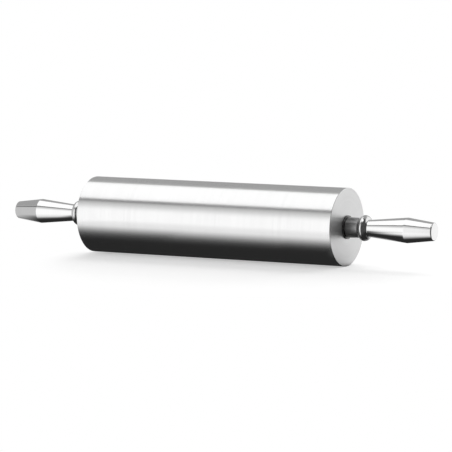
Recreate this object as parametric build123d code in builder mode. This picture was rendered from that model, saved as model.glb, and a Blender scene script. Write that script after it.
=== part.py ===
"""Aluminium rolling pin: a hollow turned barrel that runs on two ball bearings,
on a steel rod that carries a turned handle at each end.

Frame: millimetres, origin at the middle of the barrel on its axis, +X along the
axis towards the right handle, +Z up. The pin is symmetric about the YZ plane, so
each right-hand piece is drawn once and mirrored for the left.
"""

from math import cos, pi, radians, sin, sqrt, tan
import os

from build123d import *

os.makedirs("parts", exist_ok=True)

# Barrel: a tube, counterbored at each end for its plug
barrel_length = 330.2
barrel_radius = 44.45
barrel_edge_break = 0.3
tube_wall = 6.35
plug_seat_step = 1.2

# End plug: a rim that grips the tube, a web, and a hub that holds the bearing
plug_length = 22.0
plug_rim_wall = 5.0
plug_web = 7.0
hub_wall = 5.0
hub_floor = 4.0
plug_fillet = 2.5
pocket_lip_break = 0.4

# Ball bearing, a 10 x 26 x 8 mm deep-groove size with seven balls
bearing_bore_radius = 5.0
bearing_outer_radius = 13.0
bearing_width = 8.0
bearing_recess = 1.0
race_corner = 0.3
ball_radius = 2.381
ball_count = 7
groove_conformity = 1.04
groove_depth = 0.8
shield_thickness = 0.35
shield_inset = 0.25
shield_seat_step = 0.7
cage_sheet = 0.4
cage_half_height = 0.8
rivet_radius = 0.55
rivet_head_radius = 0.85
rivet_head_height = 0.35

# Dust washer against the barrel's end face
washer_radius = 13.4
washer_thickness = 1.6
washer_edge = 0.4

# Handle: a neck, a full-round bead and two cones that meet at a crest.
# Distances are from the barrel's end face, outwards along the axis.
spigot_radius = 6.8
neck_radius_at_washer = 11.7
neck_radius_at_bead = 11.25
neck_edge = 0.5
bead_distance = 22.6
bead_outer_radius = 14.7
bead_section_radius = 5.2
bead_fillet = 1.2
grip_root_radius = 9.5
crest_distance = 75.4
crest_radius = 14.33
crest_blend = 3.0
handle_reach = 108.0
handle_end_radius = 10.1
handle_end_fillet = 1.2
thread_depth = 38.0
drill_point_angle = 118.0

# Axle rod
rod_radius = 6.0
rod_chamfer = 0.8
thread_pitch_radius = 4.51
thread_engagement = 34.0

# Fits and clearances
press_gap = 0.02
journal_gap = 0.01
thread_gap = 0.02
ball_play = 0.05
pocket_play = 0.12
rivet_gap = 0.01
shield_gap = 0.15
washer_gap = 0.3
washer_bore_gap = 0.05
axle_hole_gap = 4.5
clamp_gap = 0.3

# Places along the axis
face_x = barrel_length / 2
bearing_outer_x = face_x - bearing_recess
bearing_inner_x = bearing_outer_x - bearing_width
bearing_mid_x = (bearing_outer_x + bearing_inner_x) / 2
neck_start_x = face_x + washer_gap + washer_thickness
bead_x = face_x + bead_distance
crest_x = face_x + crest_distance
handle_end_x = face_x + handle_reach

# Radii that follow
tube_bore_radius = barrel_radius - tube_wall
plug_seat_radius = tube_bore_radius + plug_seat_step
plug_radius = plug_seat_radius - press_gap
pocket_radius = bearing_outer_radius + press_gap
journal_radius = bearing_bore_radius - journal_gap
pitch_radius = (bearing_bore_radius + bearing_outer_radius) / 2
groove_radius = ball_radius * groove_conformity
inner_groove_radius = pitch_radius - ball_radius - ball_play
outer_groove_radius = pitch_radius + ball_radius + ball_play
inner_land_radius = inner_groove_radius + groove_depth
outer_land_radius = outer_groove_radius - groove_depth
shield_seat_radius = outer_land_radius + shield_seat_step
shield_seat_width = shield_inset + shield_thickness
bead_ring_radius = bead_outer_radius - bead_section_radius


def nearest_vertex(builder, x, y):
    """The corner of a sketch that lies at (x, y)."""
    return builder.vertices().sort_by_distance((x, y, 0))[0]


def bead_half_width(radius):
    """Half the bead's width along the axis, at a radius on its section."""
    return sqrt(bead_section_radius**2 - (radius - bead_ring_radius) ** 2)


# Barrel tube
with BuildPart() as barrel_tube:
    with BuildSketch(Plane.YZ):
        Circle(barrel_radius)
        Circle(tube_bore_radius, mode=Mode.SUBTRACT)
    extrude(amount=barrel_length / 2, both=True)
    with BuildSketch(Plane.YZ.offset(face_x)):
        Circle(plug_seat_radius)
    extrude(amount=-plug_length, mode=Mode.SUBTRACT)
    with BuildSketch(Plane.YZ.offset(-face_x)):
        Circle(plug_seat_radius)
    extrude(amount=plug_length, mode=Mode.SUBTRACT)
    rims = barrel_tube.faces().filter_by(GeomType.CYLINDER).sort_by(SortBy.AREA)[-1].edges()
    chamfer(rims.filter_by(GeomType.CIRCLE), barrel_edge_break)

# End plug, faced off flush with the tube
with BuildPart() as end_plug:
    pocket_floor_x = bearing_inner_x
    hub_back_x = pocket_floor_x - hub_floor
    hub_radius = pocket_radius + hub_wall
    rim_bore_radius = plug_radius - plug_rim_wall
    axle_hole_radius = rod_radius + axle_hole_gap
    with BuildSketch() as plug_section:
        with BuildLine():
            Polyline(
                (face_x, pocket_radius),
                (face_x, plug_radius),
                (face_x - plug_length, plug_radius),
                (face_x - plug_length, rim_bore_radius),
                (face_x - plug_web, rim_bore_radius),
                (face_x - plug_web, hub_radius),
                (hub_back_x, hub_radius),
                (hub_back_x, axle_hole_radius),
                (pocket_floor_x, axle_hole_radius),
                (pocket_floor_x, pocket_radius),
                close=True,
            )
        make_face()
        fillet(nearest_vertex(plug_section, face_x - plug_web, rim_bore_radius), plug_fillet)
        fillet(nearest_vertex(plug_section, face_x - plug_web, hub_radius), plug_fillet)
        chamfer(nearest_vertex(plug_section, face_x, pocket_radius), pocket_lip_break)
    revolve(axis=Axis.X)

# Outer race: grooved ring with a shield seat at each side
with BuildPart() as bearing_outer_race:
    with BuildSketch() as outer_section:
        with Locations((bearing_mid_x, (bearing_outer_radius + outer_land_radius) / 2)):
            Rectangle(bearing_width, bearing_outer_radius - outer_land_radius)
        for side_x in (bearing_inner_x, bearing_outer_x):
            with Locations((side_x, outer_land_radius)):
                Rectangle(2 * shield_seat_width, 2 * shield_seat_step, mode=Mode.SUBTRACT)
            chamfer(nearest_vertex(outer_section, side_x, bearing_outer_radius), race_corner)
        with Locations((bearing_mid_x, outer_groove_radius - groove_radius)):
            Circle(groove_radius, mode=Mode.SUBTRACT)
    revolve(axis=Axis.X)

# Inner race: grooved ring clamped on the axle
with BuildPart() as bearing_inner_race:
    with BuildSketch() as inner_section:
        with Locations((bearing_mid_x, (bearing_bore_radius + inner_land_radius) / 2)):
            Rectangle(bearing_width, inner_land_radius - bearing_bore_radius)
        for side_x in (bearing_inner_x, bearing_outer_x):
            chamfer(nearest_vertex(inner_section, side_x, bearing_bore_radius), race_corner)
        with Locations((bearing_mid_x, inner_groove_radius + groove_radius)):
            Circle(groove_radius, mode=Mode.SUBTRACT)
    revolve(axis=Axis.X)

# Cage: two pressed ribbons that meet at the bearing's middle and wrap the balls
cage_plane = Plane.YZ.offset(bearing_mid_x)
cage_pocket_radius = ball_radius + pocket_play
shell_radius = cage_pocket_radius + cage_sheet
rivet_turn = 180 / ball_count


def cage_half(direction):
    """One ribbon of the cage, on the +X or -X side of the middle plane."""
    with BuildPart(Plane.YZ) as ribbon:
        with PolarLocations(pitch_radius, ball_count):
            Sphere(shell_radius)
        with BuildSketch(Plane.YZ):
            Circle(pitch_radius + cage_half_height)
            Circle(pitch_radius - cage_half_height, mode=Mode.SUBTRACT)
        extrude(amount=cage_sheet, both=True)
        with BuildSketch(Plane.YZ):
            Circle(pitch_radius + cage_half_height)
            Circle(pitch_radius - cage_half_height, mode=Mode.SUBTRACT)
        extrude(amount=direction * bearing_width / 2, mode=Mode.INTERSECT)
        with PolarLocations(pitch_radius, ball_count):
            Sphere(cage_pocket_radius, mode=Mode.SUBTRACT)
        with PolarLocations(pitch_radius, ball_count, start_angle=rivet_turn):
            Cylinder(rivet_radius, 2 * shell_radius, mode=Mode.SUBTRACT)
    with BuildPart() as half:
        with Locations((bearing_mid_x, 0, 0)):
            add(ribbon.part)
    return half


cage_outer_half = cage_half(1)
cage_inner_half = cage_half(-1)

# Cage rivets, one between each two balls
with BuildPart(cage_plane) as cage_rivets:
    with PolarLocations(pitch_radius, ball_count, start_angle=rivet_turn):
        Cylinder(rivet_radius - rivet_gap, 2 * cage_sheet)
        for head_side in (1, -1):
            with Locations((0, 0, head_side * (cage_sheet + rivet_head_height / 2))):
                Cylinder(rivet_head_radius, rivet_head_height)

# Shields: thin dished rings seated in the outer race, clear of the inner one
shield_inner_radius = inner_land_radius + shield_gap


def shield(outer_face_x, direction):
    """A shield whose outer face lies at outer_face_x, dished towards the balls."""
    with BuildPart() as ring:
        with BuildSketch():
            with Locations((outer_face_x - direction * shield_thickness / 2, 0)):
                Rectangle(
                    shield_thickness,
                    shield_seat_radius - press_gap,
                    align=(Align.CENTER, Align.MIN),
                )
                Rectangle(
                    shield_thickness,
                    shield_inner_radius,
                    align=(Align.CENTER, Align.MIN),
                    mode=Mode.SUBTRACT,
                )
        revolve(axis=Axis.X)
    return ring


bearing_shield_outer = shield(bearing_outer_x - shield_inset, 1)
bearing_shield_inner = shield(bearing_inner_x + shield_inset, -1)

# Dust washer, on the handle's spigot
with BuildPart() as dust_washer:
    with BuildSketch(Plane.YZ.offset(face_x + washer_gap)):
        Circle(washer_radius)
        Circle(spigot_radius + washer_bore_gap, mode=Mode.SUBTRACT)
    extrude(amount=washer_thickness)
    rims = dust_washer.edges().filter_by(GeomType.CIRCLE).sort_by(SortBy.RADIUS)[-2:]
    fillet(rims, washer_edge)

# Handle, turned in one piece and tapped for the rod
with BuildPart() as handle:
    tap_radius = thread_pitch_radius + thread_gap
    tap_end_x = face_x + thread_depth
    tap_point_x = tap_end_x + tap_radius / tan(radians(drill_point_angle / 2))
    neck_end_x = bead_x - bead_half_width(neck_radius_at_bead)
    grip_start_x = bead_x + bead_half_width(grip_root_radius)
    with BuildSketch() as handle_section:
        with BuildLine():
            Polyline(
                (tap_point_x, 0),
                (tap_end_x, tap_radius),
                (bearing_outer_x, tap_radius),
                (bearing_outer_x, spigot_radius),
                (neck_start_x, spigot_radius),
                (neck_start_x, neck_radius_at_washer),
                (neck_end_x, neck_radius_at_bead),
            )
            ThreePointArc(
                (neck_end_x, neck_radius_at_bead),
                (bead_x, bead_outer_radius),
                (grip_start_x, grip_root_radius),
            )
            Polyline(
                (grip_start_x, grip_root_radius),
                (crest_x, crest_radius),
                (handle_end_x, handle_end_radius),
                (handle_end_x, 0),
                (tap_point_x, 0),
            )
        make_face()
        chamfer(nearest_vertex(handle_section, neck_start_x, neck_radius_at_washer), neck_edge)
        fillet(nearest_vertex(handle_section, neck_end_x, neck_radius_at_bead), bead_fillet)
        fillet(nearest_vertex(handle_section, grip_start_x, grip_root_radius), bead_fillet)
        fillet(nearest_vertex(handle_section, crest_x, crest_radius), crest_blend)
        fillet(nearest_vertex(handle_section, handle_end_x, handle_end_radius), handle_end_fillet)
    revolve(axis=Axis.X)

# Axle rod: a body between the bearings, a journal in each, and threaded ends that
# are drawn plain at their pitch radius
with BuildPart() as axle_rod:
    journal_end_x = bearing_outer_x - clamp_gap
    thread_end_x = face_x + thread_engagement
    for step_radius, step_reach in (
        (rod_radius, bearing_inner_x),
        (journal_radius, journal_end_x),
        (thread_pitch_radius, thread_end_x),
    ):
        with BuildSketch(Plane.YZ):
            Circle(step_radius)
        extrude(amount=step_reach, both=True)
    tips = axle_rod.edges().filter_by(GeomType.CIRCLE).sort_by(Axis.X)
    chamfer([tips[0], tips[-1]], rod_chamfer)

axle_rod.part.label = "axle_rod"
export_step(axle_rod.part, "parts/axle_rod.step")
barrel_tube.part.label = "barrel_tube"
export_step(barrel_tube.part, "parts/barrel_tube.step")

# Right-hand pieces, and their mirror images for the left
right_pieces = {
    "end_plug": end_plug,
    "bearing_outer_race": bearing_outer_race,
    "bearing_inner_race": bearing_inner_race,
    "cage_outer_half": cage_outer_half,
    "cage_inner_half": cage_inner_half,
    "cage_rivets": cage_rivets,
    "bearing_shield_outer": bearing_shield_outer,
    "bearing_shield_inner": bearing_shield_inner,
    "dust_washer": dust_washer,
    "handle": handle,
}
for ball in range(ball_count):
    ball_turn = 2 * pi * ball / ball_count
    with BuildPart(cage_plane) as bearing_ball:
        with Locations((pitch_radius * cos(ball_turn), pitch_radius * sin(ball_turn))):
            Sphere(ball_radius)
    right_pieces[f"bearing_ball_{ball + 1}"] = bearing_ball

for node, piece in right_pieces.items():
    piece.part.label = f"{node}_right"
    export_step(piece.part, f"parts/{node}_right.step")
    with BuildPart() as mirrored:
        mirror(piece.part, about=Plane.YZ)
    mirrored.part.label = f"{node}_left"
    export_step(mirrored.part, f"parts/{node}_left.step")
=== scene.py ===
import math

import bmesh
import bpy
from mathutils import Matrix, Vector


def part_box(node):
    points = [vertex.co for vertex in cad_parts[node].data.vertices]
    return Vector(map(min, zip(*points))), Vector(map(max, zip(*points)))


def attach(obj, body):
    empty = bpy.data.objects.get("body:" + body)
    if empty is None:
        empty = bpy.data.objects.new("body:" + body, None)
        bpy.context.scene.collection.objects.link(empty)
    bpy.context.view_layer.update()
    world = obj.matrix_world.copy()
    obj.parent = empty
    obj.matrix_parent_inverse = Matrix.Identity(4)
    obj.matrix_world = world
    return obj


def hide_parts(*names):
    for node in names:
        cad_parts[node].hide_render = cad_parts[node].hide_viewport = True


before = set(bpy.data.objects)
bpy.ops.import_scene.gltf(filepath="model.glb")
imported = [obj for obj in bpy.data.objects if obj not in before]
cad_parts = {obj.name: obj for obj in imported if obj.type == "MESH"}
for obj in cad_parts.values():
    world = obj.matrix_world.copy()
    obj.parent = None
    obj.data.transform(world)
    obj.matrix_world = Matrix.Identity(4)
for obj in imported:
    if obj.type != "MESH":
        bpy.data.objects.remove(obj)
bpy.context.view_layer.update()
print("frame loaded:", len(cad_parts), "nodes")

mm = 0.001
barrelLow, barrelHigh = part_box("barrel_tube")
endFaceX = barrelHigh.x                       # the right end face
barrelRadius = barrelHigh.z
floorHeight = -barrelRadius


# Helpers for node trees. A value that is a socket gets linked, any other is set.

def addNode(tree, kind, values=None, **settings):
    node = tree.nodes.new(kind)
    for name, value in settings.items():
        setattr(node, name, value)
    for socket, value in (values or {}).items():
        if isinstance(value, bpy.types.NodeSocket):
            tree.links.new(value, node.inputs[socket])
        else:
            node.inputs[socket].default_value = value
    return node


def calculate(tree, operation, *values):
    return addNode(tree, "ShaderNodeMath", dict(enumerate(values)), operation=operation).outputs[0]


def softStep(tree, value, start, end):       # 0 at start, 1 at end
    ramp = addNode(
        tree, "ShaderNodeMapRange",
        {"Value": value, "From Min": start, "From Max": end},
        interpolation_type="SMOOTHSTEP",
    )
    return ramp.outputs["Result"]


def addSockets(tree, inputs, outputs):
    for direction, sockets in (("INPUT", inputs), ("OUTPUT", outputs)):
        for name, kind, *default in sockets:
            socket = tree.interface.new_socket(
                name=name, in_out=direction, socket_type="NodeSocket" + kind,
            )
            if default:
                socket.default_value = default[0]
    return tree.nodes.new("NodeGroupInput"), tree.nodes.new("NodeGroupOutput")


# Effects that several finishes share

marksLook = {"detail": 3.0, "roughness": 0.6, "contrast": (0.3, 0.7)}
handlingLook = {"detail": 4.0, "distortion": 0.4, "contrast": (0.35, 0.7)}


def makeLatheMarks():                        # rings round the axis, on round sides and on flat faces
    tree = bpy.data.node_groups.new("latheMarks", "ShaderNodeTree")
    entry, result = addSockets(
        tree,
        [("Place", "Vector"), ("Pitch", "Float", 0.4 * mm), ("Wander", "Float", 0.3)],
        [("Marks", "Float")],
    )
    place = addNode(tree, "ShaderNodeSeparateXYZ", {0: entry.outputs["Place"]})
    across = addNode(tree, "ShaderNodeCombineXYZ", {"Y": place.outputs["Y"], "Z": place.outputs["Z"]})
    radius = addNode(tree, "ShaderNodeVectorMath", {0: across.outputs[0]}, operation="LENGTH")
    around = addNode(tree, "ShaderNodeVectorMath", {0: across.outputs[0]}, operation="NORMALIZE")
    wander = addNode(
        tree, "ShaderNodeVectorMath",
        {0: around.outputs[0], "Scale": entry.outputs["Wander"]}, operation="SCALE",
    )
    rings = addNode(
        tree, "ShaderNodeCombineXYZ",
        {
            "X": calculate(tree, "DIVIDE", place.outputs["X"], entry.outputs["Pitch"]),
            "Y": calculate(tree, "DIVIDE", radius.outputs["Value"], entry.outputs["Pitch"]),
        },
    )
    spot = addNode(
        tree, "ShaderNodeVectorMath", {0: rings.outputs[0], 1: wander.outputs[0]}, operation="ADD",
    )
    noise = addNode(
        tree, "ShaderNodeTexNoise",
        {
            "Vector": spot.outputs[0], "Scale": 1.0,
            "Detail": marksLook["detail"], "Roughness": marksLook["roughness"],
        },
    )
    tree.links.new(softStep(tree, noise.outputs[0], *marksLook["contrast"]), result.inputs["Marks"])
    return tree


def makeHandling():                          # broad soft patches that hands and cloths leave
    tree = bpy.data.node_groups.new("handling", "ShaderNodeTree")
    entry, result = addSockets(
        tree,
        [("Place", "Vector"), ("Patch", "Float", 30 * mm)],
        [("Film", "Float")],
    )
    noise = addNode(
        tree, "ShaderNodeTexNoise",
        {
            "Vector": entry.outputs["Place"],
            "Scale": calculate(tree, "DIVIDE", 1.0, entry.outputs["Patch"]),
            "Detail": handlingLook["detail"], "Distortion": handlingLook["distortion"],
        },
    )
    tree.links.new(softStep(tree, noise.outputs[0], *handlingLook["contrast"]), result.inputs["Film"])
    return tree


latheMarks = makeLatheMarks()
handling = makeHandling()


def addGroup(tree, group, values):
    return addNode(tree, "ShaderNodeGroup", values, node_tree=group).outputs[0]


# Bare metals. Grooves and lands are the brightness of the turned rings and of the metal between them,
# gloss is the roughness of both, lands first, and patch is the size of the film that hands leave.

finishes = {
    "barrelSatin": {
        "grooves": 0.885, "lands": 0.925, "pitch": 0.5 * mm, "wander": 0.25, "patch": 45 * mm,
        "gloss": (0.17, 0.20), "filmGloss": 0.015, "filmTint": 0.985, "depth": 0.0004 * mm,
    },
    "facedEnd": {
        "grooves": 0.795, "lands": 0.845, "pitch": 0.5 * mm, "wander": 0.2, "patch": 25 * mm,
        "gloss": (0.32, 0.38), "filmGloss": 0.02, "filmTint": 0.985, "depth": 0.0006 * mm,
        "bare": 0.8,                         # fine facing scatters some of the light as paint does
    },
    "handlePolish": {
        "grooves": 0.90, "lands": 0.93, "pitch": 0.6 * mm, "wander": 0.3, "patch": 18 * mm,
        "gloss": (0.05, 0.075), "filmGloss": 0.02, "filmTint": 0.98, "depth": 0.0002 * mm,
    },
    "beadPolish": {
        "grooves": 0.82, "lands": 0.86, "pitch": 0.5 * mm, "wander": 0.3, "patch": 18 * mm,
        "gloss": (0.13, 0.16), "filmGloss": 0.02, "filmTint": 0.98, "depth": 0.0002 * mm,
    },
    # rougher turned finish; its darker colour is painted shade for the recess between the barrel end
    # and the bead
    "neckTurnedPaintedShade": {
        "grooves": 0.36, "lands": 0.42, "pitch": 0.5 * mm, "wander": 0.3, "patch": 18 * mm,
        "gloss": (0.28, 0.33), "filmGloss": 0.02, "filmTint": 0.98, "depth": 0.0003 * mm,
    },
    "washerSteel": {
        "grooves": 0.16, "lands": 0.24, "pitch": 0.3 * mm, "wander": 0.4, "patch": 8 * mm,
        "gloss": (0.18, 0.26), "filmGloss": 0.04, "filmTint": 0.94, "depth": 0.001 * mm,
    },
    "groundRod": {
        "grooves": 0.52, "lands": 0.60, "pitch": 0.35 * mm, "wander": 0.3, "patch": 30 * mm,
        "gloss": (0.22, 0.30), "filmGloss": 0.05, "filmTint": 0.93, "depth": 0.001 * mm,
    },
    "raceSteel": {
        "grooves": 0.66, "lands": 0.74, "pitch": 0.15 * mm, "wander": 0.2, "patch": 6 * mm,
        "gloss": (0.10, 0.15), "filmGloss": 0.04, "filmTint": 0.95, "depth": 0.0004 * mm,
    },
    "ballSteel": {
        "grooves": 0.78, "lands": 0.82, "pitch": 0.6 * mm, "wander": 1.2, "patch": 2 * mm,
        "gloss": (0.04, 0.06), "filmGloss": 0.03, "filmTint": 0.97, "depth": 0.0001 * mm,
    },
    "shieldSteel": {
        "grooves": 0.56, "lands": 0.66, "pitch": 0.25 * mm, "wander": 0.5, "patch": 5 * mm,
        "gloss": (0.24, 0.32), "filmGloss": 0.05, "filmTint": 0.94, "depth": 0.0008 * mm,
    },
    "cageSteel": {
        "grooves": 0.52, "lands": 0.62, "pitch": 0.4 * mm, "wander": 1.5, "patch": 3 * mm,
        "gloss": (0.28, 0.38), "filmGloss": 0.05, "filmTint": 0.92, "depth": 0.001 * mm,
    },
}


def makeMetal(name, look):
    material = bpy.data.materials.new(name)
    material.use_nodes = True
    tree = material.node_tree
    shader = tree.nodes["Principled BSDF"]
    shader.inputs["Metallic"].default_value = look.get("bare", 1.0)
    place = addNode(tree, "ShaderNodeTexCoord").outputs["Object"]
    marks = addGroup(
        tree, latheMarks, {"Place": place, "Pitch": look["pitch"], "Wander": look["wander"]},
    )
    film = addGroup(tree, handling, {"Place": place, "Patch": look["patch"]})

    brightness = addNode(
        tree, "ShaderNodeMapRange",
        {"Value": marks, "To Min": look["grooves"], "To Max": look["lands"]},
    ).outputs["Result"]
    filmTint = addNode(
        tree, "ShaderNodeMapRange", {"Value": film, "To Min": 1.0, "To Max": look["filmTint"]},
    )
    brightness = calculate(tree, "MULTIPLY", brightness, filmTint.outputs["Result"])
    tree.links.new(brightness, shader.inputs["Base Color"])

    smooth, rough = look["gloss"]
    gloss = addNode(tree, "ShaderNodeMapRange", {"Value": marks, "To Min": rough, "To Max": smooth})
    filmGloss = calculate(tree, "MULTIPLY", film, look["filmGloss"])
    tree.links.new(
        calculate(tree, "ADD", gloss.outputs["Result"], filmGloss), shader.inputs["Roughness"],
    )
    bump = addNode(tree, "ShaderNodeBump", {"Height": marks, "Distance": look["depth"]})
    tree.links.new(bump.outputs["Normal"], shader.inputs["Normal"])
    return material


metals = {name: makeMetal(name, look) for name, look in finishes.items()}
print("finishes made:", len(metals))


# The lathe: turns an outline, drawn as points (along the axis, radius), about the X axis

squareTo = 0.999                             # a face this square to the axis is a flat end


def makeLathe():
    tree = bpy.data.node_groups.new("lathe", "GeometryNodeTree")
    entry, result = addSockets(
        tree,
        [
            ("Outline", "Geometry"),
            ("Closed Outline", "Bool", False),
            ("Segments", "Int", 256),
            ("Corner Angle", "Float", math.radians(25)),
            ("Finish", "Material"),
            ("End Finish", "Material"),      # for the flat ends, square to the axis
        ],
        [("Turned", "Geometry")],
    )
    outline = entry.outputs["Outline"]
    size = addNode(tree, "GeometryNodeAttributeDomainSize", {"Geometry": outline}, component="MESH")
    pointCount = size.outputs["Point Count"]
    rings = calculate(tree, "ADD", pointCount, entry.outputs["Closed Outline"])
    steps = calculate(tree, "ADD", entry.outputs["Segments"], 1.0)
    sheet = addNode(tree, "GeometryNodeMeshGrid", {"Vertices X": rings, "Vertices Y": steps})

    index = addNode(tree, "GeometryNodeInputIndex").outputs[0]
    ring = calculate(tree, "FLOOR", calculate(tree, "DIVIDE", index, steps))
    step = calculate(tree, "MODULO", index, steps)
    turn = calculate(tree, "DIVIDE", step, entry.outputs["Segments"])
    turn = calculate(tree, "MULTIPLY", turn, 2 * math.pi)
    sample = addNode(
        tree, "GeometryNodeSampleIndex",
        {
            "Geometry": outline,
            "Value": addNode(tree, "GeometryNodeInputPosition").outputs[0],
            "Index": calculate(tree, "MODULO", ring, pointCount),
        },
        data_type="FLOAT_VECTOR", domain="POINT",
    )
    point = addNode(tree, "ShaderNodeSeparateXYZ", {0: sample.outputs["Value"]})
    radius = point.outputs["Z"]
    place = addNode(
        tree, "ShaderNodeCombineXYZ",
        {
            "X": point.outputs["X"],
            "Y": calculate(tree, "MULTIPLY", radius, calculate(tree, "SINE", turn)),
            "Z": calculate(tree, "MULTIPLY", radius, calculate(tree, "COSINE", turn)),
        },
    )
    shape = addNode(
        tree, "GeometryNodeSetPosition",
        {"Geometry": sheet.outputs["Mesh"], "Position": place.outputs[0]},
    )
    shape = addNode(
        tree, "GeometryNodeMergeByDistance", {"Geometry": shape.outputs[0], "Distance": 0.001 * mm},
    )
    angle = addNode(tree, "GeometryNodeInputMeshEdgeAngle").outputs["Unsigned Angle"]
    corner = addNode(
        tree, "FunctionNodeCompare", {"A": angle, "B": entry.outputs["Corner Angle"]},
        operation="GREATER_THAN",
    )
    shape = addNode(
        tree, "GeometryNodeSetShadeSmooth", {"Geometry": shape.outputs[0], "Shade Smooth": True},
        domain="FACE",
    )
    shape = addNode(
        tree, "GeometryNodeSetShadeSmooth",
        {"Geometry": shape.outputs[0], "Selection": corner.outputs[0], "Shade Smooth": False},
        domain="EDGE",
    )
    shape = addNode(tree, "GeometryNodeRealizeInstances", {"Geometry": shape.outputs[0]})
    shape = addNode(
        tree, "GeometryNodeSetMaterial",
        {"Geometry": shape.outputs[0], "Material": entry.outputs["Finish"]},
    )
    normal = addNode(tree, "GeometryNodeInputNormal").outputs[0]
    facing = addNode(tree, "ShaderNodeSeparateXYZ", {0: normal})
    atEnd = addNode(
        tree, "FunctionNodeCompare",
        {"A": calculate(tree, "ABSOLUTE", facing.outputs["X"]), "B": squareTo},
        operation="GREATER_THAN",
    )
    shape = addNode(
        tree, "GeometryNodeSetMaterial",
        {
            "Geometry": shape.outputs[0], "Selection": atEnd.outputs[0],
            "Material": entry.outputs["End Finish"],
        },
    )
    tree.links.new(shape.outputs[0], result.inputs["Turned"])
    return tree


lathe = makeLathe()
arcStep = math.radians(9)                    # a fillet has a point at every such turn
guard = 0.6 * mm                             # an extra point beside a fillet keeps the shading clean


def drawOutline(corners):                    # each corner is (x, radius) or (x, radius, fillet)
    points = []
    for number, (x, radius, *fillet) in enumerate(corners):
        here = Vector((x, radius))
        if not fillet:
            points.append(here)
            continue
        fillet = fillet[0]
        before = Vector(corners[number - 1][:2]) - here
        after = Vector(corners[(number + 1) % len(corners)][:2]) - here
        turn = math.pi - before.angle(after)
        reach = fillet * math.tan(turn / 2)
        inwards = (before.normalized() + after.normalized()).normalized()
        centre = here + inwards * fillet / math.cos(turn / 2)
        start = here + before.normalized() * reach
        side = 1 if before.x * after.y - before.y * after.x < 0 else -1
        if before.length > reach + 2 * guard:
            points.append(start + before.normalized() * guard)
        count = max(2, round(turn / arcStep))
        for step in range(count + 1):
            points.append(centre + Matrix.Rotation(side * turn * step / count, 2) @ (start - centre))
        if after.length > reach + 2 * guard:
            points.append(here + after.normalized() * (reach + guard))
    return points


def turn(name, points, closed, finish, endFinish=None, segments=256):
    mesh = bpy.data.meshes.new(name + "Outline")
    edges = [(number, number + 1) for number in range(len(points) - 1)]
    mesh.from_pydata([(x, 0, radius) for x, radius in points], edges, [])
    blank = bpy.data.objects.new(name + "Outline", mesh)
    bpy.context.collection.objects.link(blank)
    modifier = blank.modifiers.new("lathe", "NODES")
    modifier.node_group = lathe
    settings = {
        "Closed Outline": closed, "Segments": segments,
        "Finish": finish, "End Finish": endFinish or finish,
    }
    for socket in lathe.interface.items_tree:
        if socket.in_out == "INPUT" and socket.name in settings:
            modifier[socket.identifier] = settings[socket.name]
    bpy.context.view_layer.update()
    turned = blank.evaluated_get(bpy.context.evaluated_depsgraph_get())
    result = bpy.data.meshes.new_from_object(turned)
    result.name = name
    bpy.data.objects.remove(blank)

    work = bmesh.new()
    work.from_mesh(result)
    bmesh.ops.recalc_face_normals(work, faces=work.faces)
    work.to_mesh(result)
    work.free()
    piece = bpy.data.objects.new(name, result)
    bpy.context.collection.objects.link(piece)
    return piece


def standFor(piece, node, body):
    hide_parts(node)
    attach(piece, body)


# Barrel tube, counterbored at both ends for its plugs

tubeSizes = {
    "bore": 38.1 * mm, "seat": 39.3 * mm, "seatLength": 22 * mm,
    "edgeBreak": 0.3 * mm, "edgeFillet": 0.1 * mm, "edgeLand": 8 * mm,
}


def tubeEnd(side):                           # outline of one end, from the outside to the bore
    s, face = tubeSizes, side * endFaceX
    return [
        (face - side * s["edgeLand"], barrelRadius),
        (face - side * s["edgeBreak"], barrelRadius, s["edgeFillet"]),
        (face, barrelRadius - s["edgeBreak"], s["edgeFillet"]),
        (face, s["seat"]),
        (face - side * s["seatLength"], s["seat"]),
        (face - side * s["seatLength"], s["bore"]),
    ]


tubeOutline = drawOutline(tubeEnd(1) + tubeEnd(-1)[::-1])
tube = turn("barrelTube", tubeOutline, True, metals["barrelSatin"], metals["facedEnd"])
standFor(tube, "barrel_tube", "barrel")


# End plugs, faced flush with the tube

plugSizes = {
    "radius": 39.28 * mm, "length": 22 * mm, "rimBore": 34.28 * mm, "web": 7 * mm, "fillet": 2.5 * mm,
    "hub": 18.02 * mm, "hubBack": 13 * mm, "axleHole": 10.5 * mm,
    "pocket": 13.02 * mm, "pocketDepth": 9 * mm, "lip": 0.4 * mm,
}


def plugOutline(side):
    s = plugSizes

    def away(depth):
        return side * (endFaceX - depth)

    return drawOutline([
        (away(0), s["radius"]),
        (away(s["length"]), s["radius"]),
        (away(s["length"]), s["rimBore"]),
        (away(s["web"]), s["rimBore"], s["fillet"]),
        (away(s["web"]), s["hub"], s["fillet"]),
        (away(s["hubBack"]), s["hub"]),
        (away(s["hubBack"]), s["axleHole"]),
        (away(s["pocketDepth"]), s["axleHole"]),
        (away(s["pocketDepth"]), s["pocket"]),
        (away(s["lip"]), s["pocket"]),
        (away(0), s["pocket"] + s["lip"]),
    ])


# Dust washers

washerSizes = {
    "gap": 0.3 * mm, "thickness": 1.6 * mm, "bore": 6.85 * mm, "radius": 13.4 * mm, "edge": 0.4 * mm,
}


def washerOutline(side):
    s = washerSizes
    inner = side * (endFaceX + s["gap"])
    outer = side * (endFaceX + s["gap"] + s["thickness"])
    return drawOutline([
        (inner, s["bore"]),
        (inner, s["radius"], s["edge"]),
        (outer, s["radius"], s["edge"]),
        (outer, s["bore"]),
    ])


# Handles: neck, full-round bead, two cones that meet at a crest. Places count out from the end face.

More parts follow.
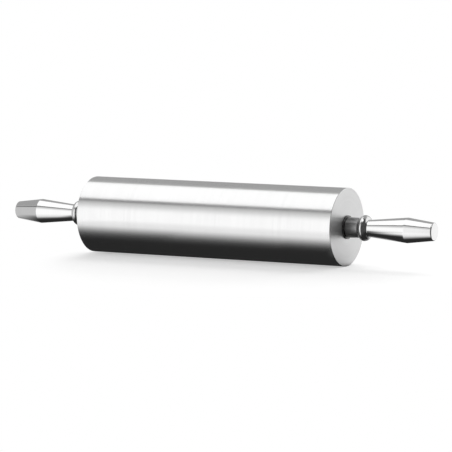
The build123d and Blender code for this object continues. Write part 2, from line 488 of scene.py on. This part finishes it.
handleSizes = {
    "spigot": 6.8 * mm, "spigotStart": -1 * mm,
    "neckStart": 1.9 * mm, "neckAtWasher": 11.7 * mm, "neckAtBead": 11.25 * mm, "neckEdge": 0.5 * mm,
    "bead": 22.6 * mm, "beadRing": 9.5 * mm, "beadSection": 5.2 * mm, "beadFillet": 1.2 * mm,
    "root": 9.5 * mm, "crest": 75.4 * mm, "crestRadius": 14.33 * mm, "crestBlend": 3 * mm,
    "length": 108 * mm, "end": 10.1 * mm, "endFillet": 1.2 * mm,
    "tap": 4.53 * mm, "tapDepth": 38 * mm, "tapPoint": math.radians(59),
}


def arcPoints(middle, radius, start, end):
    count = max(3, round(abs(end - start) / arcStep))
    for step in range(count + 1):
        angle = start + (end - start) * step / count
        yield middle + radius * Vector((math.cos(angle), math.sin(angle)))


def heading(vector):
    return math.atan2(vector.y, vector.x)


def beadFillet(s, side, radius, far):        # where a line from far runs into the bead at this radius
    middle = Vector((s["bead"], s["beadRing"]))
    section, fillet = s["beadSection"], s["beadFillet"]
    drop = radius - middle.y
    start = middle + Vector((side * math.sqrt(section ** 2 - drop ** 2), drop))
    along = (Vector(far) - start).normalized()
    outward = side * Vector((-along.y, along.x))
    back = middle - start - outward * fillet
    travel = back.dot(along) + math.sqrt((section + fillet) ** 2 - back.dot(outward) ** 2)
    return start + outward * fillet + along * travel, along, outward


def beadPoints(s):                           # neck line, fillet, bead, fillet, grip line
    middle, fillet = Vector((s["bead"], s["beadRing"])), s["beadFillet"]
    neckFar, gripFar = (s["neckStart"], s["neckAtWasher"]), (s["crest"], s["crestRadius"])
    atNeck, neckwards, neckOut = beadFillet(s, -1, s["neckAtBead"], neckFar)
    atGrip, gripwards, gripOut = beadFillet(s, 1, s["root"], gripFar)
    toNeck, toGrip = heading(atNeck - middle), heading(atGrip - middle)
    return [
        atNeck - neckOut * fillet + neckwards * guard,
        *arcPoints(atNeck, fillet, heading(-neckOut), toNeck - math.pi),
        *list(arcPoints(middle, s["beadSection"], toNeck, toGrip))[1:],
        *list(arcPoints(atGrip, fillet, toGrip - math.pi, heading(-gripOut)))[1:],
        atGrip - gripOut * fillet + gripwards * guard,
    ]


def handleOutline(side):
    s = handleSizes
    tapPoint = s["tapDepth"] + s["tap"] / math.tan(s["tapPoint"])
    points = drawOutline([
        (tapPoint, 0),
        (s["tapDepth"], s["tap"]),
        (s["spigotStart"], s["tap"]),
        (s["spigotStart"], s["spigot"]),
        (s["neckStart"], s["spigot"]),
        (s["neckStart"], s["neckAtWasher"] - s["neckEdge"]),
        (s["neckStart"] + s["neckEdge"], s["neckAtWasher"]),
        *beadPoints(s),
        (s["crest"], s["crestRadius"], s["crestBlend"]),
        (s["length"], s["end"], s["endFillet"]),
        (s["length"], 0),
    ])
    return [(side * (endFaceX + x), radius) for x, radius in points]


def finishInward(piece, finish, reach):      # another finish for the faces nearer the middle
    piece.data.materials.append(metals[finish])
    for face in piece.data.polygons:
        if abs(face.center.x) < reach:
            face.material_index = len(piece.data.materials) - 1


smallPieceSegments = 192                     # round the washers and the handles

beadStart, beadEnd = (
    endFaceX + handleSizes["bead"] + side * handleSizes["beadSection"] for side in (-1, 1)
)
for sideName, side in (("left", -1), ("right", 1)):
    plug = turn("endPlug_" + sideName, plugOutline(side), True, metals["facedEnd"])
    standFor(plug, "end_plug_" + sideName, "barrel")
    washer = turn(
        "dustWasher_" + sideName, washerOutline(side), True, metals["washerSteel"],
        segments=smallPieceSegments,
    )
    standFor(washer, "dust_washer_" + sideName, "axle_and_handles")
    handle = turn(
        "handle_" + sideName, handleOutline(side), False, metals["handlePolish"],
        segments=smallPieceSegments,
    )
    finishInward(handle, "beadPolish", beadEnd)
    # the neck gets the rougher turned finish, darkened with painted shade
    finishInward(handle, "neckTurnedPaintedShade", beadStart)
    standFor(handle, "handle_" + sideName, "axle_and_handles")
print("turned pieces made: tube, 2 plugs, 2 washers, 2 handles")


# Pieces inside keep their CAD meshes and get a finish

insideFinishes = {
    "axle_rod": "groundRod",
    "bearing_ball": "ballSteel",
    "bearing_shield": "shieldSteel",
    "bearing": "raceSteel",
    "cage": "cageSteel",
}
for node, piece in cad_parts.items():
    finish = next((name for start, name in insideFinishes.items() if node.startswith(start)), None)
    if finish:
        if not piece.material_slots:
            piece.data.materials.append(None)
        for slot in piece.material_slots:
            slot.link = "OBJECT"
            slot.material = metals[finish]
print("inside pieces finished")


# Floor: white to the camera, with the pin's soft shadow. Bare metal sees painted shade right under the
# pin, a dark strip that only reflections show, and beside that it sees the room, as the floor is clear
# to it there.

floorLook = {
    "halfSize": 6.0, "paint": 0.8, "lift": 0.462,
    "zoneMiddle": (0.1, -0.02, 0),
    "shadowZone": (0.24, 0.295),             # beyond this distance from it the floor is plain white
    "paintedShade": {                                # painted shade that only the metal sees, right under each part of the pin
        "barrel": {
            "x": (-0.205, 0.147), "end": 0.03, "middle": 0, "across": (0.036, 0.115),
            "fade": (0.08, 0.35), "share": 0.8,
        },
        "leftHandle": {
            "x": (-0.265, -0.1), "end": 0.05, "middle": 0.022, "across": (0.032, 0.077),
            "fade": (0.05, 0.14), "share": 0.75,
        },
        "rightHandle": {
            "x": (0.21, 0.29), "end": 0.02, "middle": 0.022, "across": (0.032, 0.077),
            "fade": (0.05, 0.14), "share": 0.75,
        },
        "rightBead": {
            "x": (0.1, 0.21), "end": 0.015, "middle": -0.01, "across": (0.015, 0.045),
            "fade": (0.03, 0.08), "share": 0.75,
        },
    },
    # brightness of the painted shade
    "paintedShadeLevel": 0.023,
}


def makeFloor():
    material = bpy.data.materials.new("studioFloor")
    material.use_nodes = True
    tree = material.node_tree
    tree.nodes.clear()
    place = addNode(tree, "ShaderNodeTexCoord").outputs["Object"]
    axes = addNode(tree, "ShaderNodeSeparateXYZ", {0: place})
    flat = addNode(tree, "ShaderNodeCombineXYZ", {"X": axes.outputs["X"], "Y": axes.outputs["Y"]})
    away = addNode(
        tree, "ShaderNodeVectorMath",
        {0: flat.outputs[0], 1: floorLook["zoneMiddle"]}, operation="DISTANCE",
    ).outputs["Value"]
    rays = addNode(tree, "ShaderNodeLightPath").outputs
    shown = calculate(tree, "MAXIMUM", rays["Is Camera Ray"], rays["Is Transmission Ray"])

    paint = addNode(tree, "ShaderNodeBsdfDiffuse", {"Color": (floorLook["paint"],) * 3 + (1,)})
    lift = addNode(
        tree, "ShaderNodeEmission", {"Strength": calculate(tree, "MULTIPLY", shown, floorLook["lift"])},
    )
    near = addNode(tree, "ShaderNodeAddShader", {0: paint.outputs[0], 1: lift.outputs[0]})
    white = addNode(tree, "ShaderNodeEmission", {"Strength": shown})
    far = softStep(tree, away, *floorLook["shadowZone"])
    floor = addNode(tree, "ShaderNodeMixShader", {0: far, 1: near.outputs[0], 2: white.outputs[0]})

    # Painted shade: a dark strip under each part of the pin that only glossy rays see
    clear = 1.0
    for zone in floorLook["paintedShade"].values():
        (left, right), end = zone["x"], zone["end"]
        fromY = calculate(tree, "SUBTRACT", axes.outputs["Y"], zone["middle"])
        fromY = calculate(tree, "ABSOLUTE", fromY)
        edge = calculate(tree, "MULTIPLY", softStep(tree, fromY, *zone["across"]), zone["share"])
        tail = calculate(tree, "MULTIPLY", softStep(tree, fromY, *zone["fade"]), 1 - zone["share"])
        beside = calculate(
            tree, "MAXIMUM",
            softStep(tree, axes.outputs["X"], left, left - end),
            softStep(tree, axes.outputs["X"], right, right + end),
        )
        clearOfShade = calculate(tree, "MAXIMUM", calculate(tree, "ADD", edge, tail), beside)
        clear = calculate(tree, "MULTIPLY", clearOfShade, clear)
    room = addNode(tree, "ShaderNodeBsdfTransparent")
    # the painted shade itself, a dim emission
    paintedShade = addNode(tree, "ShaderNodeEmission", {"Strength": floorLook["paintedShadeLevel"]})
    paintedShadeOrRoom = addNode(tree, "ShaderNodeMixShader", {0: clear, 1: paintedShade.outputs[0], 2: room.outputs[0]})
    seen = addNode(
        tree, "ShaderNodeMixShader",
        {0: rays["Is Glossy Ray"], 1: floor.outputs[0], 2: paintedShadeOrRoom.outputs[0]},
    )
    addNode(tree, "ShaderNodeOutputMaterial", {"Surface": seen.outputs[0]})
    half = floorLook["halfSize"]
    mesh = bpy.data.meshes.new("studioFloor")
    corners = [(-half, -half), (half, -half), (half, half), (-half, half)]
    mesh.from_pydata([(x, y, floorHeight) for x, y in corners], [], [(0, 1, 2, 3)])
    mesh.materials.append(material)
    floorObject = bpy.data.objects.new("studioFloor", mesh)
    bpy.context.collection.objects.link(floorObject)


makeFloor()


# The room: white to the camera. The metal sees a grey room with soft walls and sheets in it.
# Angles in degrees: a wall is placed round the vertical (0 front, -Y; 90 right) and may be limited in
# elevation; a strip runs along the pin and is placed over it (0 front, 90 straight up). Edge is the
# width over which a panel fades out, on its sides no more than widestSide.

studio = {
    "ambient": 0.38, "room": 0.37, "widestSide": 16,
    "panels": {
        "leftWall": {"wall": (-107, -25), "edge": 8, "elevation": (-100, 37), "level": 0.57},
        "frontSheet": {"wall": (-43, 20), "edge": 8, "level": 1.08},
        "sheetTop": {"wall": (-47, 20), "strip": (30, 75), "edge": 24, "level": 0.6},
        "gap": {"wall": (-62, 20), "strip": (45, 75), "edge": 6, "level": 0.16},
        "darkRight": {"wall": (-6, 122), "edge": 14, "level": 0.07},
        "highRight": {"wall": (4, 76), "edge": 20, "elevation": (62, 110), "level": 1.7},
        "backSheet": {"wall": (118, 178), "edge": 16, "elevation": (-32, 38), "level": 0.98},
    },
}


def spanMask(tree, direction, span, edge, toVector):
    low, high, edge = (math.radians(value) for value in (*span, edge))
    facing = addNode(tree, "ShaderNodeVectorMath", {0: direction}, operation="NORMALIZE")
    facing = addNode(
        tree, "ShaderNodeVectorMath",
        {0: facing.outputs[0], 1: toVector((low + high) / 2)}, operation="DOT_PRODUCT",
    )
    angle = calculate(tree, "ARCCOSINE", facing.outputs["Value"])
    half = (high - low) / 2
    return softStep(tree, angle, half + edge / 2, half - edge / 2)


def makeRoom():
    world = bpy.data.worlds.new("studioRoom")
    bpy.context.scene.world = world
    world.use_nodes = True
    world.cycles.sampling_method = "NONE"
    tree = world.node_tree
    tree.nodes.clear()
    looking = addNode(tree, "ShaderNodeTexCoord").outputs["Generated"]
    ray = addNode(tree, "ShaderNodeSeparateXYZ", {0: looking})
    flat = addNode(tree, "ShaderNodeCombineXYZ", {"X": ray.outputs["X"], "Y": ray.outputs["Y"]})
    upright = addNode(tree, "ShaderNodeCombineXYZ", {"Y": ray.outputs["Y"], "Z": ray.outputs["Z"]})
    elevation = calculate(tree, "ARCSINE", ray.outputs["Z"])
    level = studio["room"]
    for panel in studio["panels"].values():
        inside = spanMask(
            tree, flat.outputs[0], panel["wall"], min(panel["edge"], studio["widestSide"]),
            lambda angle: (math.sin(angle), -math.cos(angle), 0),
        )
        if "strip" in panel:
            over = spanMask(
                tree, upright.outputs[0], panel["strip"], panel["edge"],
                lambda angle: (0, -math.cos(angle), math.sin(angle)),
            )
            inside = calculate(tree, "MULTIPLY", inside, over)
        if "elevation" in panel:
            low, high = (math.radians(value) for value in panel["elevation"])
            soft = math.radians(panel["edge"]) / 2
            above = softStep(tree, elevation, low - soft, low + soft)
            below = softStep(tree, elevation, high + soft, high - soft)
            inside = calculate(tree, "MULTIPLY", inside, calculate(tree, "MULTIPLY", above, below))
        level = addNode(
            tree, "ShaderNodeMix", {0: inside, 2: level, 3: panel["level"]}, data_type="FLOAT",
        ).outputs[0]
    rays = addNode(tree, "ShaderNodeLightPath").outputs
    plain = calculate(tree, "MAXIMUM", rays["Is Camera Ray"], rays["Is Transmission Ray"])
    ambient = addNode(
        tree, "ShaderNodeMix", {0: plain, 2: studio["ambient"], 3: 1.0}, data_type="FLOAT",
    )
    strength = addNode(
        tree, "ShaderNodeMix",
        {0: rays["Is Glossy Ray"], 2: ambient.outputs[0], 3: level}, data_type="FLOAT",
    )
    light = addNode(
        tree, "ShaderNodeBackground", {"Color": (1, 1, 1, 1), "Strength": strength.outputs[0]},
    )
    addNode(tree, "ShaderNodeOutputWorld", {"Surface": light.outputs[0]})


makeRoom()

overhead = {
    "height": 1.0, "left": -1.02, "right": 0.08, "front": -0.74, "backLeft": 0.57, "backRight": 0.4,
    "level": 1.12,
}


def makeOverhead():                          # the soft box above, that only the metal sees
    material = bpy.data.materials.new("overheadLight")
    material.use_nodes = True
    tree = material.node_tree
    tree.nodes.clear()
    glow = addNode(tree, "ShaderNodeEmission", {"Strength": overhead["level"]})
    addNode(tree, "ShaderNodeOutputMaterial", {"Surface": glow.outputs[0]})
    material.cycles.emission_sampling = "NONE"
    sides = [("left", "front"), ("right", "front"), ("right", "backRight"), ("left", "backLeft")]
    corners = [(overhead[x], overhead[y], overhead["height"]) for x, y in sides]
    mesh = bpy.data.meshes.new("overheadLight")
    mesh.from_pydata(corners, [], [(0, 1, 2, 3)])
    mesh.materials.append(material)
    box = bpy.data.objects.new("overheadLight", mesh)
    bpy.context.collection.objects.link(box)
    box.visible_camera = box.visible_diffuse = box.visible_transmission = box.visible_shadow = False


makeOverhead()

lamps = {                                    # soft boxes that throw the pin's shadow forward
    "highBack": {"place": Vector((-0.5, 2.6, 2.6)), "width": 4.8, "height": 2.4, "power": 68},
    "lowBack": {"place": Vector((-0.5, 3.8, 1.3)), "width": 4.8, "height": 1.2, "power": 82},
}
for name, look in lamps.items():
    lamp = bpy.data.lights.new(name, "AREA")
    lamp.shape = "RECTANGLE"
    lamp.size, lamp.size_y, lamp.energy = look["width"], look["height"], look["power"]
    lampObject = bpy.data.objects.new(name, lamp)
    lampObject.location = look["place"]
    lampObject.rotation_euler = (-look["place"]).to_track_quat("-Z", "Y").to_euler()
    lampObject.visible_glossy = False        # the metal sees the room's panels instead
    bpy.context.collection.objects.link(lampObject)
print("floor, room and lamps made")


# Camera at the photograph's viewing angle

view = {
    "place": Vector((1.5115, -2.7649, 0.3113)), "along": Vector((-0.47489, 0.87430, -0.10037)),
    "sensor": 36, "lens": 218.1,
}
camera = bpy.data.cameras.new("photoView")
camera.sensor_width, camera.lens = view["sensor"], view["lens"]
cameraObject = bpy.data.objects.new("photoView", camera)
cameraObject.location = view["place"]
cameraObject.rotation_euler = view["along"].to_track_quat("-Z", "Y").to_euler()
bpy.context.collection.objects.link(cameraObject)
bpy.context.scene.camera = cameraObject
bpy.context.scene.view_settings.view_transform = "Standard"
print("camera set")
